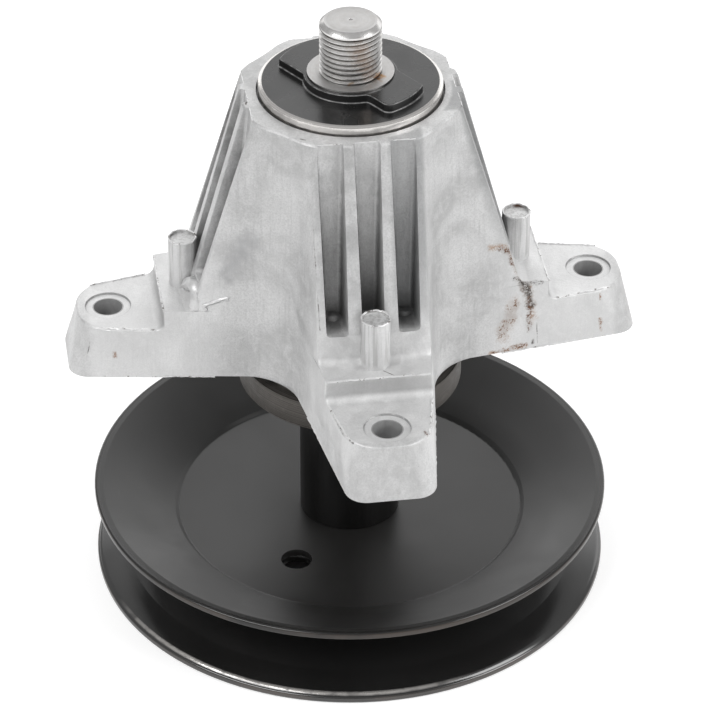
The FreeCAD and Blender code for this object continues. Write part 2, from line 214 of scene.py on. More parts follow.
def vectors(tree, operation, *values):
    made = put(tree, "VectorMath", dict(enumerate(values)), operation=operation)
    scalar = operation in ("LENGTH", "DOT_PRODUCT", "DISTANCE")
    return made.outputs["Value" if scalar else "Vector"]


def ramp(tree, value, low, high, to_low=0.0, to_high=1.0):
    """Value from low to high spread smoothly over another range."""
    return put(tree, "MapRange", {0: value, 1: low, 2: high, 3: to_low, 4: to_high},
               interpolation_type="SMOOTHSTEP").outputs[0]


def band(tree, value, low, high, fade):
    """Mask of the values between low and high, soft at both ends."""
    return maths(tree, "MULTIPLY", ramp(tree, value, low - fade, low + fade),
                 ramp(tree, value, high + fade, high - fade))


def blend_colour(tree, share, first, second):
    return put(tree, "Mix", {0: share, 6: first, 7: second}, data_type="RGBA").outputs[2]


def blend_value(tree, share, first, second):
    return put(tree, "Mix", {0: share, 2: first, 3: second}, data_type="FLOAT").outputs[0]


def noise(tree, place, scale, detail=3.0, roughness=0.5, distortion=0.0):
    return put(tree, "TexNoise", {"Vector": place, "Scale": scale, "Detail": detail,
                                  "Roughness": roughness, "Distortion": distortion}).outputs["Fac"]


def wandering(tree, place, scale, detail):
    """Vector that wanders about zero from place to place, for ragged outlines."""
    colour = put(tree, "TexNoise", {"Vector": place, "Scale": scale, "Detail": detail}).outputs["Color"]
    parts = put(tree, "SeparateColor", {0: colour}).outputs
    joined = put(tree, "CombineXYZ", {0: parts[0], 1: parts[1], 2: parts[2]}).outputs[0]
    return vectors(tree, "SUBTRACT", joined, (0.5, 0.5, 0.5))


def grey(value, warmth=0.0):
    return (value * (1 + warmth), value, value * (1 - warmth), 1.0)


def place_in_mm(tree):
    """Object coordinates in millimetres."""
    coords = put(tree, "TexCoord").outputs["Object"]
    return vectors(tree, "MULTIPLY", coords, (1000, 1000, 1000))


def radius_of(tree, place):
    flat = vectors(tree, "MULTIPLY", place, (1, 1, 0))
    return vectors(tree, "LENGTH", flat)


def height_of(tree, place):
    return put(tree, "SeparateXYZ", {0: place}).outputs["Z"]


def start_group(name, inputs, outputs):
    """Empty node group with named inputs (kind, default) and named outputs (kind)."""
    tree = bpy.data.node_groups.new(name, "ShaderNodeTree")
    for label, (kind, default) in inputs.items():
        socket = tree.interface.new_socket(label, in_out="INPUT", socket_type="NodeSocket" + kind)
        socket.default_value = default
    for label, kind in outputs.items():
        tree.interface.new_socket(label, in_out="OUTPUT", socket_type="NodeSocket" + kind)
    enter = tree.nodes.new("NodeGroupInput").outputs
    leave = tree.nodes.new("NodeGroupOutput").inputs
    return tree, enter, leave


def use(tree, group, **sockets):
    made = tree.nodes.new("ShaderNodeGroup")
    made.node_tree = group
    for label, value in sockets.items():
        name = label.replace("_", " ").capitalize()
        if isinstance(value, bpy.types.NodeSocket):
            tree.links.new(value, made.inputs[name])
        else:
            made.inputs[name].default_value = value
    return made.outputs


def lathe_lines_group():
    """Fine turned lines round the axis, on faces and on cylinders alike."""
    tree, enter, leave = start_group(
        "turned lines",
        {"Spacing": ("Float", 0.3), "Seed": ("Float", 0.0)},
        {"Lines": "Float", "Bands": "Float"})
    place = place_in_mm(tree)
    along = maths(tree, "ADD", radius_of(tree, place), height_of(tree, place))
    fine = maths(tree, "DIVIDE", along, enter["Spacing"])
    fine = maths(tree, "ADD", fine, enter["Seed"])
    lines = put(tree, "TexNoise", {"W": fine, "Scale": 1.0, "Detail": 3.0},
                noise_dimensions="1D").outputs["Fac"]
    bands = put(tree, "TexNoise", {"W": fine, "Scale": 0.15, "Detail": 2.0},
                noise_dimensions="1D").outputs["Fac"]
    tree.links.new(lines, leave["Lines"])
    tree.links.new(bands, leave["Bands"])
    return tree


def specks_group():
    """Scattered small round specks, pits or grains of dust."""
    tree, enter, leave = start_group(
        "specks",
        {"Spacing": ("Float", 5.0), "Size": ("Float", 0.3), "Share": ("Float", 0.5)},
        {"Mask": "Float"})
    place = place_in_mm(tree)
    rough = vectors(tree, "ADD", place, put(tree, "TexNoise", {
        "Vector": place, "Scale": 1.2, "Detail": 2.0}).outputs["Color"])
    scale = maths(tree, "DIVIDE", 1.0, enter["Spacing"])
    cells = put(tree, "TexVoronoi", {"Vector": rough, "Scale": scale}, feature="F1")
    distance = maths(tree, "MULTIPLY", cells.outputs["Distance"], enter["Spacing"])
    chance = put(tree, "SeparateColor", {0: cells.outputs["Color"]}).outputs[0]
    size = maths(tree, "MULTIPLY", enter["Size"], chance)
    inside = ramp(tree, distance, size, 0.0)
    chosen = maths(tree, "LESS_THAN", chance, enter["Share"])
    tree.links.new(maths(tree, "MULTIPLY", inside, chosen), leave["Mask"])
    return tree


def streak_group():
    """Ragged mark along a straight line between two points, in millimetres."""
    tree, enter, leave = start_group(
        "streak",
        {"Place": ("Vector", (0, 0, 0)), "Wander": ("Vector", (0, 0, 0)), "Grain": ("Float", 0.5),
         "Start": ("Vector", (0, 0, 0)), "End": ("Vector", (0, 0, 1)),
         "Width": ("Float", 1.0), "Breakup": ("Float", 0.5)},
        {"Mask": "Float"})
    drift = put(tree, "VectorMath", {"Vector": enter["Wander"]}, operation="SCALE")
    tree.links.new(maths(tree, "MULTIPLY", enter["Width"], 1.6), drift.inputs["Scale"])
    here = vectors(tree, "ADD", enter["Place"], drift.outputs["Vector"])
    span = vectors(tree, "SUBTRACT", enter["End"], enter["Start"])
    reach = vectors(tree, "SUBTRACT", here, enter["Start"])
    share = maths(tree, "DIVIDE", vectors(tree, "DOT_PRODUCT", reach, span),
                  vectors(tree, "DOT_PRODUCT", span, span), clamp=True)
    nearest = put(tree, "VectorMath", {"Vector": span, "Scale": share}, operation="SCALE")
    off = vectors(tree, "DISTANCE", reach, nearest.outputs["Vector"])
    body = ramp(tree, off, enter["Width"], 0.0)
    limit = maths(tree, "MULTIPLY", enter["Breakup"], 0.62)
    specks = ramp(tree, enter["Grain"], limit, maths(tree, "ADD", limit, 0.05))
    tree.links.new(maths(tree, "MULTIPLY", body, maths(tree, "MAXIMUM", specks, 0.2)), leave["Mask"])
    return tree


def mottle_group():
    """Uneven tone at three sizes: clouds, stains and fine grain."""
    tree, enter, leave = start_group(
        "mottle",
        {"Clouds": ("Float", 20.0), "Stains": ("Float", 4.0), "Grain": ("Float", 0.35)},
        {"Clouds": "Float", "Stains": "Float", "Grain": "Float"})
    place = place_in_mm(tree)
    for label, detail, roughness in (("Clouds", 3, 0.5), ("Stains", 4, 0.6), ("Grain", 2, 0.6)):
        scale = maths(tree, "DIVIDE", 1.0, enter[label])
        tree.links.new(noise(tree, place, scale, detail, roughness, 0.6), leave[label])
    return tree


def scratches_group():
    """Short fine scratches lying roughly one way."""
    tree, enter, leave = start_group(
        "scratches",
        {"Turn": ("Float", 0.0), "Spacing": ("Float", 6.0), "Share": ("Float", 0.5)},
        {"Mask": "Float"})
    place = place_in_mm(tree)
    turned = put(tree, "VectorRotate", {"Vector": place, "Angle": enter["Turn"]},
                 rotation_type="Z_AXIS").outputs[0]
    bent = vectors(tree, "ADD", turned, put(tree, "TexNoise", {
        "Vector": place, "Scale": 0.05, "Detail": 1.0}).outputs["Color"])
    drawn = vectors(tree, "DIVIDE", bent, (1.0, 12.0, 6.0))
    scale = maths(tree, "DIVIDE", 3.0, enter["Spacing"])
    cells = put(tree, "TexVoronoi", {"Vector": drawn, "Scale": scale},
                feature="DISTANCE_TO_EDGE").outputs["Distance"]
    thin = ramp(tree, cells, 0.018, 0.0)
    patches = noise(tree, place, 0.16, detail=2.0)
    some = ramp(tree, patches, maths(tree, "SUBTRACT", 1.0, enter["Share"]), 0.95)
    tree.links.new(maths(tree, "MULTIPLY", thin, some), leave["Mask"])
    return tree


LATHE_LINES = lathe_lines_group()
SPECKS = specks_group()
STREAK = streak_group()
MOTTLE = mottle_group()
SCRATCHES = scratches_group()


def start_material(name):
    made = bpy.data.materials.new(name)
    made.use_nodes = True
    return made, made.node_tree, made.node_tree.nodes["Principled BSDF"].inputs


def bump(tree, height, distance, strength=1.0, normal=None):
    sockets = {"Height": height, "Distance": distance * MM, "Strength": strength}
    if normal is not None:
        sockets["Normal"] = normal
    return put(tree, "Bump", sockets).outputs["Normal"]


# Materials

RUST = (0.125, 0.062, 0.036, 1.0)
TAN = (0.40, 0.29, 0.22, 1.0)
DIRT = (0.055, 0.045, 0.038, 1.0)
BROWN = (0.26, 0.14, 0.08, 1.0)
SHADE = (0.44, 0.44, 0.445, 1.0)

# Marks on the casting, rust and dirt and one patch of painted shade: colour, half width, breakup, and
# the line's points in millimetres
MARKS = [
    # thin curl beside the right buttress
    (TAN, 1.5, 0.78, [(34.5, -15.4, 103.3), (38.1, -14.5, 102.6), (41.0, -14.1, 98.5),
                      (41.8, -13.8, 94.6)]),
    (RUST, 1.5, 0.76, [(37.0, -15.4, 102.3), (39.6, -14.5, 101.0), (41.0, -14.1, 97.5),
                       (41.6, -13.8, 94.6)]),
    # dark run down the right arm from its shelf
    (TAN, 2.0, 0.80, [(42.6, -14.5, 92.4), (45.0, -14.0, 89.4), (46.3, -14.8, 79.5)]),
    (DIRT, 1.7, 0.68, [(43.2, -14.5, 91.6), (45.0, -14.0, 88.6), (45.6, -14.7, 84.0)]),
    (DIRT, 1.2, 0.80, [(41.0, -14.6, 92.8), (44.6, -13.9, 90.6), (48.5, -13.6, 90.4)]),
    (RUST, 1.3, 0.80, [(45.2, -14.8, 86.0), (45.4, -15.1, 76.5)]),
    # loose patch lower down
    (TAN, 3.2, 0.82, [(41.3, -15.4, 85.3), (38.2, -16.4, 75.4)]),
    (RUST, 2.6, 0.86, [(41.3, -15.4, 85.0), (38.0, -16.4, 76.4)]),
    # along the lower edge
    (TAN, 1.5, 0.78, [(35.0, -16.9, 71.0), (44.2, -15.5, 71.9)]),
    (RUST, 1.1, 0.86, [(36.0, -16.9, 71.0), (44.2, -15.5, 72.2)]),
    # small spots
    (BROWN, 0.7, 0.74, [(65.0, -12.2, 76.2), (65.5, -12.3, 72.5)]),
    (BROWN, 0.45, 0.76, [(64.9, -11.7, 83.6), (65.0, -11.8, 82.0)]),
    (BROWN, 1.0, 0.76, [(-63.8, -12.3, 77.9), (-63.6, -12.3, 76.9)]),
    (RUST, 0.7, 0.66, [(9.0, -67.0, 84.7), (9.2, -68.4, 84.7)]),
    (DIRT, 0.7, 0.62, [(46.6, -15.5, 73.2), (46.6, -15.5, 72.4)]),
    (RUST, 1.2, 0.66, [(46.6, 2.6, 104.0), (44.4, 3.6, 104.0)]),
    # parting lines
    (DIRT, 0.22, 0.72, [(-69.0, -9.6, 83.9), (-71.7, -10.7, 71.5)]),
    (DIRT, 0.20, 0.72, [(47.4, -14.5, 79.4), (47.9, -15.2, 72.0)]),
    (DIRT, 0.20, 0.62, [(1.5, -47.8, 90.6), (3.9, -50.2, 90.4)]),
    (DIRT, 0.30, 0.86, [(-13.3, -49.3, 97.0), (-13.2, -51.3, 89.5), (-12.6, -55.5, 84.6),
                        (-11.2, -66.0, 84.6)]),
    (DIRT, 0.30, 0.88, [(13.3, -49.3, 97.0), (13.2, -51.3, 89.5), (12.6, -55.5, 84.6),
                        (11.2, -66.0, 84.6)]),
    (DIRT, 0.22, 0.80, [(-14.1, -23.8, 144.6), (-14.0, -31.7, 125.2), (-13.9, -36.6, 111.9),
                        (-13.6, -40.3, 99.3)]),
    # soft patch of painted shade on the left face
    (SHADE, 4.2, 0.55, [(-28.3, -16.6, 112.8), (-34.3, -15.6, 101.6)]),
    # pits and nicks
    (DIRT, 0.50, 0.50, [(-10.4, -68.2, 84.5), (-9.4, -68.8, 84.4)]),
    (DIRT, 0.45, 0.55, [(-27.3, -4.3, 145.0), (-26.9, -3.1, 145.0)]),
    (DIRT, 0.35, 0.55, [(-15.9, -22.9, 144.9), (-14.7, -23.5, 144.9)]),
]


def folded(tree, place):
    """Distance along an arm and across it, the same for all four arms, and the height."""
    axes = put(tree, "SeparateXYZ", {0: place}).outputs
    x = maths(tree, "ABSOLUTE", axes["X"])
    y = maths(tree, "ABSOLUTE", axes["Y"])
    return maths(tree, "MAXIMUM", x, y), maths(tree, "MINIMUM", x, y), axes["Z"]


def distance_from(tree, along, across, circle):
    """Distance from an axis that stands on an arm's middle line."""
    off = maths(tree, "SUBTRACT", along, circle)
    squares = maths(tree, "ADD", maths(tree, "MULTIPLY", off, off),
                    maths(tree, "MULTIPLY", across, across))
    return maths(tree, "SQRT", squares)


def groove_share(tree, place):
    """Mask of the drafted grooves on the four buttresses."""
    along, across, height = folded(tree, place)
    share = maths(tree, "MULTIPLY", ramp(tree, across, 15.2, 13.6),
                  ramp(tree, height, SHELF_TOP + 4, SHELF_TOP + 7.5))
    share = maths(tree, "MULTIPLY", share, ramp(tree, along, BOSS_CIRCLE - 3.5, BOSS_CIRCLE - 5.0))
    return maths(tree, "MULTIPLY", share, ramp(tree, radius_of(tree, place), 25.2, 26.2))


def shaded_right_groove(tree, place):
    """Mask of the right-hand groove of the front buttress, which gets painted shade darker than the
    others.
    """
    axes = put(tree, "SeparateXYZ", {0: place}).outputs
    right = ramp(tree, axes["X"], GROOVE_PITCH / 2, GROOVE_PITCH / 2 + 2)
    return maths(tree, "MULTIPLY", right, maths(tree, "LESS_THAN", axes["Y"], 0.0))


def cast_aluminium():
    """Mottled die-cast skin with rust marks; painted shade in the grooves, corners and machined holes
    and on the turned pilot; painted light on the outer arms.
    """
    made, tree, shader = start_material("cast aluminium")
    place = place_in_mm(tree)
    height = height_of(tree, place)
    mottle = use(tree, MOTTLE, clouds=17.0, stains=3.6, grain=0.45)
    tone = blend_colour(tree, ramp(tree, mottle["Clouds"], 0.35, 0.65), grey(0.46), grey(0.64))
    tone = blend_colour(tree, ramp(tree, mottle["Stains"], 0.4, 0.7, 0.0, 0.55), tone, grey(0.72))
    tone = blend_colour(tree, ramp(tree, mottle["Grain"], 0.35, 0.7, 0.0, 0.34), tone, grey(0.33))
    upright = vectors(tree, "MULTIPLY", place, (1.0, 1.0, 0.04))
    drawn = noise(tree, upright, 1.1, detail=3.0, roughness=0.6)
    tone = blend_colour(tree, ramp(tree, drawn, 0.5, 0.72, 0.0, 0.2), tone, grey(0.30))
    # painted shade: ambient occlusion darkens hollows, fully in the grooves and a little in other
    # corners
    hollow = put(tree, "AmbientOcclusion", {"Distance": 8 * MM}, samples=8).outputs["AO"]
    hollow_shade = ramp(tree, maths(tree, "ADD", hollow, maths(tree, "MULTIPLY", mottle["Stains"], 0.2)),
                0.82, 0.32, 0.0, 0.86)
    grooves = groove_share(tree, place)
    reach = ramp(tree, grooves, 0.0, 1.0, 0.16, 1.0)
    tone = blend_colour(tree, maths(tree, "MULTIPLY", hollow_shade, reach), tone, grey(0.135, 0.01))
    # painted shade on the right-hand groove of the front buttress
    right_groove_shade = maths(tree, "MULTIPLY", grooves, shaded_right_groove(tree, place))
    tone = blend_colour(tree, maths(tree, "MULTIPLY", right_groove_shade, 0.5), tone, grey(0.17, -0.02))
    along, across, _ = folded(tree, place)
    # painted light: lighter towards the outer arms, less so at their tips
    outer = maths(tree, "MULTIPLY", ramp(tree, radius_of(tree, place), 34, 46, 0.0, 0.44),
                  ramp(tree, along, HOLE_CIRCLE + 4, HOLE_CIRCLE + 7, 1.0, 0.35))
    tone = blend_colour(tree, outer, tone, grey(0.84))
    # painted shade down inside the bolt holes, and a dark line broken by stains round the edge of each
    # spot face
    hole = distance_from(tree, along, across, HOLE_CIRCLE)
    ring = band(tree, hole, SPOT_FACE_RADIUS - 0.2, SPOT_FACE_RADIUS + 0.05, 0.1)
    hole_shade_and_face_line = maths(tree, "MAXIMUM", ramp(tree, hole, HOLE_RADIUS + 0.35, HOLE_RADIUS + 0.25, 0.0, 0.6),
                    maths(tree, "MULTIPLY", ring, ramp(tree, mottle["Stains"], 0.35, 0.6, 0.15, 0.6)))
    tone = blend_colour(tree, hole_shade_and_face_line, tone, grey(0.16))
    # painted shade on the step wall where the pad rises to the shelf
    riser_shade = maths(tree, "MULTIPLY", band(tree, along, PAD_START - 0.1, PAD_START + 2.2, 0.3),
                  band(tree, height, PAD_TOP + 1.0, SHELF_TOP - 0.6, 0.9))
    tone = blend_colour(tree, maths(tree, "MULTIPLY", riser_shade, 0.5), tone, grey(0.26))
    boss_distance = distance_from(tree, along, across, BOSS_CIRCLE)
    boss_side = maths(tree, "MULTIPLY", ramp(tree, boss_distance, BOSS_RADIUS + 0.4, BOSS_RADIUS + 0.2),
                      ramp(tree, height, SHELF_TOP + 0.5, SHELF_TOP + 2))
    streaks = maths(tree, "MULTIPLY", boss_side, ramp(tree, drawn, 0.44, 0.60, 0.0, 0.34))
    tone = blend_colour(tree, streaks, tone, grey(0.24, 0.03))
    boss = maths(tree, "MULTIPLY", ramp(tree, boss_distance, BOSS_RADIUS, BOSS_RADIUS - 0.4),
                 ramp(tree, height, BOSS_TOP - 0.3, BOSS_TOP - 0.1))
    boss = maths(tree, "MULTIPLY", boss, ramp(tree, mottle["Stains"], 0.42, 0.6, 0.1, 0.8))
    tone = blend_colour(tree, boss, tone, grey(0.24, 0.04))
    wander = wandering(tree, place, 0.45, 3.0)
    clusters = noise(tree, place, 0.55, detail=2.0)
    grain = noise(tree, place, 2.2, detail=5.0, roughness=0.75)
    grain = maths(tree, "ADD", maths(tree, "MULTIPLY", grain, 0.6),
                  maths(tree, "MULTIPLY", clusters, 0.4))
    for colour, width, breakup, points in MARKS:
        for start, end in zip(points, points[1:]):
            mark = use(tree, STREAK, place=place, wander=wander, grain=grain, start=start, end=end,
                       width=width, breakup=breakup)["Mask"]
            tone = blend_colour(tree, mark, tone, colour)
    pits = use(tree, SPECKS, spacing=5.0, size=0.5, share=0.45)["Mask"]
    tone = blend_colour(tree, maths(tree, "MULTIPLY", pits, 0.7), tone, grey(0.13, 0.05))
    # the turned pilot below the mounting face: its turned lines and stains, painted dark as shade under
    # the skirt
    below = ramp(tree, height, PILOT_TOP + 1.5, PILOT_TOP + 0.5)
    lines = use(tree, LATHE_LINES, spacing=0.3)["Lines"]
    pilot_shade_tone = blend_colour(tree, ramp(tree, lines, 0.35, 0.65), grey(0.035, 0.08), grey(0.10, 0.10))
    stained = ramp(tree, mottle["Stains"], 0.5, 0.7, 0.0, 0.4)
    pilot_shade_tone = blend_colour(tree, stained, pilot_shade_tone, grey(0.16, 0.08))
    tree.links.new(blend_colour(tree, below, tone, pilot_shade_tone), shader["Base Color"])
    shader["Metallic"].default_value = 0.5
    rough = ramp(tree, mottle["Stains"], 0.3, 0.7, 0.40, 0.58)
    tree.links.new(rough, shader["Roughness"])
    coarse = bump(tree, mottle["Stains"], 0.25, 0.6)
    scored = bump(tree, drawn, 0.10, 0.4, coarse)
    fine = bump(tree, mottle["Grain"], 0.07, 0.8, scored)
    tree.links.new(fine, shader["Normal"])
    return made


def trimmed_flash():
    """Bright torn metal where flash was broken off, with dirt caught in it."""
    made, tree, shader = start_material("trimmed flash")
    mottle = use(tree, MOTTLE, clouds=5.0, stains=1.4, grain=0.4)
    tone = blend_colour(tree, ramp(tree, mottle["Stains"], 0.56, 0.66), grey(0.76), grey(0.14, 0.10))
    tree.links.new(tone, shader["Base Color"])
    shader["Metallic"].default_value = 0.4
    tree.links.new(ramp(tree, mottle["Grain"], 0.3, 0.7, 0.28, 0.5), shader["Roughness"])
    tree.links.new(bump(tree, mottle["Grain"], 0.05, 0.7), shader["Normal"])
    return made


# Stains at the root of the blade thread: colour, share, half width, breakup and points
THREAD_STAINS = [
    ((0.50, 0.27, 0.10, 1.0), 0.9, 1.5, 0.30, [(7.4, -4.2, 150.6), (6.4, -5.8, 151.2)]),
    ((0.30, 0.15, 0.06, 1.0), 0.8, 0.9, 0.55, [(6.3, -5.4, 150.4), (5.2, -6.2, 151.6)]),
    ((0.42, 0.24, 0.11, 1.0), 0.7, 0.6, 0.45, [(-1.6, -7.6, 150.4), (-0.6, -7.7, 151.0)]),
    ((0.36, 0.27, 0.21, 1.0), 0.5, 4.0, 0.45, [(1.0, -8.0, 160.0), (4.5, -6.8, 153.0)]),
]


def turned_steel():
    """Bright turned steel with painted shade in the thread valleys and a little rust at the thread's
    root.
    """
    made, tree, shader = start_material("turned steel")
    place = place_in_mm(tree)
    lathe = use(tree, LATHE_LINES, spacing=0.22)
    mottle = use(tree, MOTTLE, clouds=6.0, stains=1.5, grain=0.2)
    facing = put(tree, "SeparateXYZ", {0: put(tree, "NewGeometry").outputs["Normal"]}).outputs["Z"]
    level = ramp(tree, facing, 0.90, 0.98)
    tone = blend_colour(tree, lathe["Lines"], grey(0.58, 0.01), grey(0.78, 0.01))
    faced = blend_colour(tree, lathe["Lines"], grey(0.50, 0.01), grey(0.62, 0.01))
    tone = blend_colour(tree, level, tone, faced)
    tone = blend_colour(tree, ramp(tree, mottle["Stains"], 0.4, 0.75, 0.0, 0.35), tone, grey(0.44, 0.05))
    # painted shade: ambient occlusion darkens the thread valleys, less on level faces
    root = put(tree, "AmbientOcclusion", {"Distance": 1.0 * MM}, samples=8).outputs["AO"]
    valley_shade = maths(tree, "MULTIPLY", ramp(tree, root, 0.78, 0.40),
                   ramp(tree, level, 0.0, 1.0, 0.85, 0.4))
    tone = blend_colour(tree, valley_shade, tone, grey(0.06, 0.16))
    wander = wandering(tree, place, 0.8, 2.0)
    grain = noise(tree, place, 1.2, detail=4.0, roughness=0.6)
    for colour, share, width, breakup, (start, end) in THREAD_STAINS:
        mark = use(tree, STREAK, place=place, wander=wander, grain=grain, start=start, end=end,
                   width=width, breakup=breakup)["Mask"]
        tone = blend_colour(tree, maths(tree, "MULTIPLY", mark, share), tone, colour)
    tree.links.new(tone, shader["Base Color"])
    shader["Metallic"].default_value = 1.0
    shader["Specular Tint"].default_value = grey(0.35)
    rough = ramp(tree, lathe["Bands"], 0.3, 0.7, 0.20, 0.32)
    rough = maths(tree, "ADD", rough, maths(tree, "MULTIPLY", level, 0.24))
    tree.links.new(rough, shader["Roughness"])
    tree.links.new(bump(tree, lathe["Lines"], 0.015, 0.4), shader["Normal"])
    return made


def adapter_finish():
    """Glossy black plate with a bright turned rim, worn top edges on its drive boss, and a painted
    highlight along the boss's root.
    """
    made, tree, shader = start_material("black plate with bright rim")
    place = place_in_mm(tree)
    radius = radius_of(tree, place)
    height = height_of(tree, place)
    face_edge = ADAPTER_RADIUS - ADAPTER_BEVEL
    rim = ramp(tree, radius, face_edge - 0.12, face_edge + 0.05)
    lathe = use(tree, LATHE_LINES, spacing=0.18)
    mottle = use(tree, MOTTLE, clouds=9.0, stains=2.0, grain=0.25)
    steel = blend_colour(tree, lathe["Lines"], grey(0.54, 0.03), grey(0.78, 0.03))
    black = blend_colour(tree, mottle["Clouds"], grey(0.005), grey(0.014))
    scuffs = use(tree, SCRATCHES, turn=0.8, spacing=7.0, share=0.5)["Mask"]
    black = blend_colour(tree, maths(tree, "MULTIPLY", scuffs, 0.35), black, grey(0.16))
    # painted highlight along the root fillet of the drive boss, and wear along its top edge
    root = band(tree, height, PLATE_TOP + 0.06, PLATE_TOP + 0.26, 0.05)
    edge = band(tree, height, DRIVE_BOSS_TOP - 0.22, DRIVE_BOSS_TOP - 0.05, 0.04)
    root = maths(tree, "MULTIPLY", root, ramp(tree, mottle["Stains"], 0.35, 0.6, 0.2, 0.75))
    edge = maths(tree, "MULTIPLY", edge, ramp(tree, mottle["Stains"], 0.35, 0.65, 0.15, 0.8))
    black = blend_colour(tree, maths(tree, "MAXIMUM", root, edge), black, grey(0.30))
    tree.links.new(blend_colour(tree, rim, black, steel), shader["Base Color"])
    tree.links.new(rim, shader["Metallic"])
    rough = ramp(tree, mottle["Clouds"], 0.3, 0.7, 0.22, 0.33)
    tree.links.new(blend_value(tree, rim, rough, 0.24), shader["Roughness"])
    shader["IOR"].default_value = 1.55
    tree.links.new(bump(tree, lathe["Lines"], 0.010, 0.3), shader["Normal"])
    return made


# Direction from the axis towards the key lamp; on that side the lower rim gets worn-through metal as a
# painted highlight
KEY_LAMP_SIDE = (-0.45, -0.89, 0.0)


def black_paint(name, dark, light, smoothest, roughest, dust, index=1.5, rim_wear_and_highlight=False,
                bare_and_highlight_share=0.0):
    """Black paint with dust and scuffs, and where asked a worn rim, with worn-through metal as a painted
    highlight on the lamp's side.
    """
    made, tree, shader = start_material(name)
    place = place_in_mm(tree)
    mottle = use(tree, MOTTLE, clouds=26.0, stains=5.0, grain=0.35)
    specks = use(tree, SPECKS, spacing=7.0, size=0.28, share=0.4)["Mask"]
    scuffs = use(tree, SCRATCHES, turn=0.4, spacing=14.0, share=0.45)["Mask"]
    tone = blend_colour(tree, mottle["Clouds"], grey(dark, 0.03), grey(light, 0.03))
    tone = blend_colour(tree, maths(tree, "MULTIPLY", specks, dust), tone, grey(0.30))
    tone = blend_colour(tree, maths(tree, "MULTIPLY", scuffs, 0.12), tone, grey(0.15))
    rough = ramp(tree, mottle["Clouds"], 0.3, 0.7, smoothest, roughest)
    if rim_wear_and_highlight:
        edge = ramp(tree, radius_of(tree, place), RIM_RADIUS - 0.28, RIM_RADIUS - 0.08)
        edge = maths(tree, "MULTIPLY", edge, ramp(tree, mottle["Clouds"], 0.35, 0.65, 0.0, 0.28))
        tone = blend_colour(tree, edge, tone, (0.15, 0.11, 0.085, 1.0))
        lip = ramp(tree, radius_of(tree, place), RIM_RADIUS - 1.6, RIM_RADIUS - 0.6)
        rough = blend_value(tree, lip, rough, 0.15)
        # painted highlight: worn-through metal on the rim's crown, only on the side towards the key lamp
        crown = band(tree, radius_of(tree, place), RIM_RADIUS - 1.5, RIM_RADIUS - 0.75, 0.25)
        lit_side = vectors(tree, "DOT_PRODUCT", place, KEY_LAMP_SIDE)
        crown = maths(tree, "MULTIPLY", crown, ramp(tree, lit_side, 46, 64))
        bare_and_highlight = maths(tree, "MULTIPLY", crown,
                     ramp(tree, mottle["Stains"], 0.35, 0.6, 0.3 * bare_and_highlight_share, bare_and_highlight_share))
        tone = blend_colour(tree, bare_and_highlight, tone, grey(0.62, 0.04))
        tree.links.new(bare_and_highlight, shader["Metallic"])
    tree.links.new(tone, shader["Base Color"])
    shader["IOR"].default_value = index
    tree.links.new(rough, shader["Roughness"])
    tree.links.new(bump(tree, mottle["Grain"], 0.012, 0.5), shader["Normal"])
    return made


def plain_metal(name, tone, rough, warmth=0.0):
    """Ground or plated steel for the pieces that stay inside."""
    made, tree, shader = start_material(name)
    mottle = use(tree, MOTTLE, clouds=8.0, stains=2.0, grain=0.2)
    lathe = use(tree, LATHE_LINES, spacing=0.3)
    mixed = blend_colour(tree, mottle["Stains"], grey(tone * 0.85, warmth), grey(tone, warmth))
    tree.links.new(mixed, shader["Base Color"])
    shader["Metallic"].default_value = 1.0
    tree.links.new(ramp(tree, mottle["Clouds"], 0.3, 0.7, rough, rough + 0.1), shader["Roughness"])
    tree.links.new(bump(tree, lathe["Lines"], 0.01, 0.4), shader["Normal"])
    return made


def moulded(name, colour, rough):
    """Plastic or rubber for the pieces that stay inside."""
    made, tree, shader = start_material(name)
    mottle = use(tree, MOTTLE, clouds=8.0, stains=1.5, grain=0.25)
    tone = blend_colour(tree, ramp(tree, mottle["Stains"], 0.3, 0.7, 0.0, 0.3), colour, grey(0.3))
    tree.links.new(tone, shader["Base Color"])
    shader["Roughness"].default_value = rough
    tree.links.new(bump(tree, mottle["Grain"], 0.02, 0.5), shader["Normal"])
    return made


def give(piece, material):
    piece.data.materials.clear()
    piece.data.materials.append(material)


# Pieces

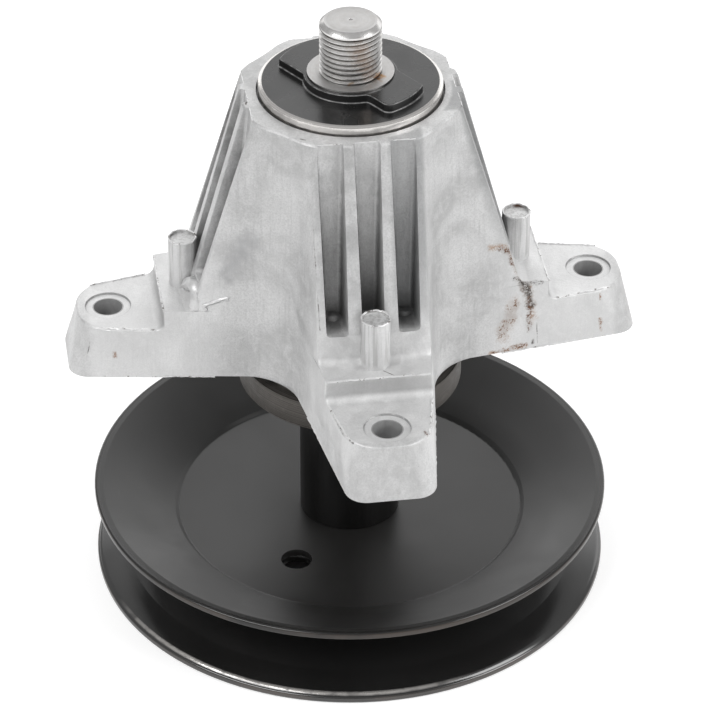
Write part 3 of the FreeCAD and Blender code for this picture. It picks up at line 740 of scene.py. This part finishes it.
def thread():
    """Blade thread: one pitch of its profile wound up the shaft, then chamfered."""
    core = THREAD_RADIUS - THREAD_DEPTH
    bottom = COLLAR_TOP - 2 * THREAD_PITCH
    flank = (THREAD_PITCH - 2 * THREAD_CREST) / 2
    profile = [(core, 0, bottom), (core, 0, bottom + THREAD_CREST),
               (THREAD_RADIUS, 0, bottom + THREAD_CREST + flank),
               (THREAD_RADIUS, 0, bottom + 2 * THREAD_CREST + flank),
               (core, 0, bottom + THREAD_PITCH)]
    piece = drawn_line("blade_thread", profile)
    turns = math.ceil((SHAFT_TOP - bottom) / THREAD_PITCH) + 1
    apply_modifier(piece, "SCREW", axis="Z", screw_offset=THREAD_PITCH * MM, iterations=turns,
                   steps=72, render_steps=72, use_merge_vertices=True,
                   merge_threshold=SEAM * MM)
    edit(piece)
    bpy.ops.mesh.remove_doubles(threshold=SEAM * MM)
    leave_edit()
    band_start = SHAFT_TOP - THREAD_END_CHAMFER - THREAD_END_BAND
    cut_off(piece, band_start + 0.05, above=True)
    cut_off(piece, COLLAR_TOP - 0.3, above=False)
    edit(piece)
    bpy.ops.mesh.normals_make_consistent(inside=False)
    leave_edit()
    wide = THREAD_RADIUS - 0.05
    end = turned_piece("thread_end", [
        (0, band_start - 0.3), (core - 0.3, band_start - 0.3), (wide, band_start + 0.2),
        (wide, SHAFT_TOP - THREAD_END_CHAMFER - 0.1), (wide - 0.1, SHAFT_TOP - THREAD_END_CHAMFER),
        (THREAD_END_RADIUS + 0.12, SHAFT_TOP - 0.15), (THREAD_END_RADIUS - 0.15, SHAFT_TOP - 0.02),
        (CENTRE_MARK, SHAFT_TOP - 0.02), (0, SHAFT_TOP - CENTRE_MARK)])
    apply_modifier(piece, "BOOLEAN", operation="UNION", object=end, solver="EXACT")
    bpy.data.objects.remove(end)
    return piece


def threaded_shaft(steel):
    """The modelled shaft with its plain upper end replaced by the cut thread."""
    piece = copy_of("spindle_shaft", "shaft_with_blade_thread")
    cut_off(piece, COLLAR_TOP - 0.02, above=True)
    piece = join([piece, thread()], "shaft_with_blade_thread")
    smooth(piece, 30)
    give(piece, steel)
    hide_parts("spindle_shaft")
    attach(piece, "rotor")
    return piece


def bead(points, radius, cuts, seed, ragged=0.55):
    """Bead of cast metal along an open line of points, ragged or nearly smooth."""
    piece = drawn_line("flash", points)
    edit(piece)
    bpy.ops.mesh.subdivide(number_cuts=cuts)
    bpy.ops.transform.vertex_random(offset=radius * ragged * MM, seed=seed)
    leave_edit()
    pick(piece)
    bpy.ops.object.convert(target="CURVE")
    piece.data.bevel_depth = radius * MM
    piece.data.bevel_resolution = 1
    piece.data.use_fill_caps = True
    bpy.ops.object.convert(target="MESH")
    edit(piece)
    bpy.ops.transform.vertex_random(offset=radius * ragged * MM, seed=seed + 1)
    bpy.ops.mesh.normals_make_consistent(inside=False)
    leave_edit()
    return piece


def arm_edge(reach, side, height, inset):
    """Point on the edge of the arm along +X, which tapers towards its tip."""
    half = ARM_HALF_WIDTH + (ARM_TIP - reach) * ARM_TAPER - inset
    return (reach, side * half, height)


def boss_rim():
    """Ragged rim on the ejector boss of the arm along +X."""
    radius = BOSS_RADIUS - 0.18
    points = []
    for step in range(19):
        angle = math.radians(step * 19)
        points.append((BOSS_CIRCLE + radius * math.cos(angle), radius * math.sin(angle), BOSS_TOP))
    return points


def rolled_rim(paint):
    """The lower half's sheet curls over at its rim and catches the light there."""
    middle = RIM_RADIUS - 0.01 - RIM_CURL
    inner_foot = (62.0, 3.9)
    arc_steps = 8
    points = [inner_foot, (62.0, 4.66), (64.0, 3.95)]
    for step in range(arc_steps + 1):
        lean = math.radians(RIM_CURL_LEAN + step * (90 - RIM_CURL_LEAN) / arc_steps)
        points.append((middle + RIM_CURL * math.sin(lean), RIM_CURL_HEIGHT + RIM_CURL * math.cos(lean)))
    points += [(68.5, 0.6), (66.0, 2.0), inner_foot]
    piece = turned_piece("pulley_rolled_rim", points, 160)
    smooth(piece, 50)
    give(piece, paint)
    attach(piece, "rotor")


def casting_flash(bright_metal):
    """Thin flash that the dies left on the arms, the bosses and the groove tops."""
    # each line of flash: its points, its thickness and how finely it is cut up
    lines = [(boss_rim(), 0.26, 1)]
    for side in (-1, 1):
        lines.append(([arm_edge(PAD_START + 2.5, side, PAD_TOP, 1.05),
                       arm_edge(68.0, side, PAD_TOP - 0.1, 1.9)], 0.28, 22))
        lines.append(([arm_edge(38.0, side, MOUNT_FACE + 0.25, 0.0),
                       arm_edge(71.0, side, MOUNT_FACE + 0.25, 0.1)], 0.20, 30))
    shelf_half = ARM_HALF_WIDTH - 1.7
    shelf_height = SHELF_TOP - 0.1
    lines.append(([(PAD_START, -shelf_half, shelf_height), (PAD_START, shelf_half, shelf_height)],
                  0.27, 26))
    floor_reach = GROOVE_FLOOR - 0.05
    groove_height = HOUSING_TOP - 0.1
    for offset in (-GROOVE_PITCH, 0, GROOVE_PITCH):
        lines.append(([(floor_reach, offset - GROOVE_WIDTH / 2, groove_height),
                       (floor_reach, offset + GROOVE_WIDTH / 2, groove_height)], 0.13, 9))
    beads = []
    for arm in range(FOOT_COUNT):
        for number, (points, radius, cuts) in enumerate(lines):
            piece = bead(points, radius, cuts, 10 * number + arm)
            turn(piece, arm * 360 / FOOT_COUNT)
            beads.append(piece)
    flash = join(beads, "casting_flash")
    smooth(flash, 50)
    give(flash, bright_metal)
    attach(flash, "housing")


# Web of metal between the left boss and its buttress, and a loose curl of flash below it
BOSS_WEB = [(-43.2, -4.8, 92.5), (-42.4, -8.0, 95.0), (-41.6, -11.0, 95.6), (-41.3, -12.8, 93.2),
            (-42.0, -13.0, 90.8)]
FLASH_CURL = [(-39.6, -15.0, 90.9), (-40.3, -14.9, 92.2), (-38.2, -15.2, 93.0), (-35.6, -15.7, 94.3),
              (-33.9, -16.0, 94.6)]
GROOVE_LUMP_RADIUS = 2.2
BOSS_WEB_RADIUS = 2.0
FLASH_CURL_RADIUS = 0.55


def casting_lumps(aluminium):
    """Rounded lumps at the feet of the outer grooves, a web beside the left boss, and a curl."""
    lumps = []
    for arm in range(FOOT_COUNT):
        for side in (-1, 1):
            middle = side * GROOVE_PITCH
            foot = [(31.6, middle - 1.6, 96.2), (32.6, middle, 96.4), (31.6, middle + 1.6, 96.2)]
            piece = bead(foot, GROOVE_LUMP_RADIUS, 2, 7 * arm + side, ragged=0.10)
            turn(piece, arm * 360 / FOOT_COUNT)
            lumps.append(piece)
    lumps.append(bead(BOSS_WEB, BOSS_WEB_RADIUS, 2, 31, ragged=0.08))
    lumps.append(bead(FLASH_CURL, FLASH_CURL_RADIUS, 2, 37, ragged=0.3))
    piece = join(lumps, "casting_lumps")
    smooth(piece, 60)
    give(piece, aluminium)
    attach(piece, "housing")


def soften(node, width, material, degrees=28, segments=2):
    """Round the edges of a modelled node a little and give it its finish."""
    piece = frame["nodes"][node]
    give(piece, material)
    weld = piece.modifiers.new("merge seams", "WELD")
    weld.merge_threshold = SEAM * MM
    rounding = piece.modifiers.new("soft edges", "BEVEL")
    rounding.width = width * MM
    rounding.segments = segments
    rounding.limit_method = "ANGLE"
    rounding.angle_limit = math.radians(degrees)
    rounding.harden_normals = True
    return piece


# Camera, light and floor

CAMERA_PLACE = (-0.1080, -0.7286, 0.5774)
CAMERA_DIRECTION = (0.1157, 0.8052, -0.5816)
CAMERA_VIEW_DEGREES = 12.24
CAMERA_SHIFT = (0.0311, 0.0422)
FLOOR_DROP = 0.02
FLOOR_GLOW = 0.52
FLOOR_GLOW_START = 48
FLOOR_GLOW_FULL = 66


def camera():
    data = bpy.data.cameras.new("camera")
    data.sensor_fit = "HORIZONTAL"
    data.angle = math.radians(CAMERA_VIEW_DEGREES)
    data.shift_x, data.shift_y = CAMERA_SHIFT
    data.clip_start = 0.05
    data.clip_end = 20.0
    eye = bpy.data.objects.new("camera", data)
    eye.location = CAMERA_PLACE
    eye.rotation_euler = Vector(CAMERA_DIRECTION).to_track_quat("-Z", "Y").to_euler()
    bpy.context.scene.collection.objects.link(eye)
    bpy.context.scene.camera = eye


def lamp(name, place, aim, size, watts):
    data = bpy.data.lights.new(name, "AREA")
    data.shape = "RECTANGLE"
    data.size, data.size_y = size
    data.energy = watts
    made = bpy.data.objects.new(name, data)
    made.location = place
    made.rotation_euler = (Vector(aim) - Vector(place)).to_track_quat("-Z", "Y").to_euler()
    bpy.context.scene.collection.objects.link(made)


def floor():
    """White paper with a weak glow of its own, except under the middle of the part."""
    deselect()
    bpy.ops.mesh.primitive_plane_add(size=6, location=(0, 0, -FLOOR_DROP * MM))
    sheet = bpy.context.object
    sheet.name = "floor"
    made, tree, shader = start_material("white paper")
    shader["Base Color"].default_value = grey(0.65)
    shader["Roughness"].default_value = 0.9
    shader["Specular IOR Level"].default_value = 0.0
    path = put(tree, "LightPath")
    seen = maths(tree, "MAXIMUM", path.outputs["Is Camera Ray"], path.outputs["Is Glossy Ray"])
    outside = ramp(tree, radius_of(tree, place_in_mm(tree)), FLOOR_GLOW_START, FLOOR_GLOW_FULL)
    seen = maths(tree, "MULTIPLY", seen, outside)
    shader["Emission Color"].default_value = (1, 1, 1, 1)
    tree.links.new(maths(tree, "MULTIPLY", seen, FLOOR_GLOW), shader["Emission Strength"])
    give(sheet, made)


def world():
    made = bpy.data.worlds.new("studio")
    bpy.context.scene.world = made
    made.use_nodes = True
    tree = made.node_tree
    path = put(tree, "LightPath")
    background = tree.nodes["Background"]
    background.inputs["Color"].default_value = (1, 1, 1, 1)
    strength = maths(tree, "ADD", maths(tree, "MULTIPLY", path.outputs["Is Camera Ray"], 0.5), 0.5)
    tree.links.new(strength, background.inputs["Strength"])


def studio():
    camera()
    world()
    floor()
    lamp("key", (-0.74, -0.48, 1.0), (0, 0, 0.08), (0.9, 0.5), 7.4)
    lamp("fill", (0.9, -0.5, 0.8), (0, 0, 0.08), (0.6, 0.7), 7)
    lamp("back", (0.1, 0.9, 1.0), (0, 0, 0.1), (1.2, 0.5), 2.5)
    lamp("low back", (0.4, 1.3, 0.45), (0, 0, 0.05), (2.6, 0.8), 7)
    bpy.context.scene.view_settings.view_transform = "Standard"


def main():
    aluminium = cast_aluminium()
    steel = turned_steel()
    satin_paint = black_paint("satin pulley paint", 0.009, 0.017, 0.30, 0.40, 0.5, rim_wear_and_highlight=True)
    gloss_paint = black_paint("glossy pulley paint", 0.004, 0.009, 0.16, 0.24, 0.5, index=1.8,
                              rim_wear_and_highlight=True, bare_and_highlight_share=0.9)
    tube_paint = black_paint("tube paint", 0.004, 0.008, 0.34, 0.44, 0.3)
    ground = plain_metal("ground steel", 0.62, 0.18)
    zinc = plain_metal("zinc plate", 0.62, 0.32, 0.02)
    rubber = moulded("seal rubber", grey(0.02), 0.55)
    polyamide = moulded("cage polyamide", grey(0.62, 0.08), 0.5)

    soften("spindle_housing", 0.25, aluminium)
    soften("blade_adapter", 0.22, adapter_finish())
    soften("pulley_upper_half", 0.25, satin_paint)
    soften("pulley_lower_half", 0.25, gloss_paint)
    soften("spacer_tube", 0.3, tube_paint)
    soften("washer", 0.2, zinc)
    soften("lock_nut", 0.15, zinc)
    give(frame["nodes"]["bearing_sleeve"], ground)
    for place in ("upper", "lower"):
        for piece in ("outer_ring", "inner_ring", "balls"):
            give(frame["nodes"][place + "_bearing_" + piece], ground)
        give(frame["nodes"][place + "_bearing_cage"], polyamide)
        for piece in ("lower_seal", "upper_seal"):
            give(frame["nodes"][place + "_bearing_" + piece], rubber)
    threaded_shaft(steel)
    casting_flash(trimmed_flash())
    casting_lumps(aluminium)
    rolled_rim(gloss_paint)
    studio()


main()
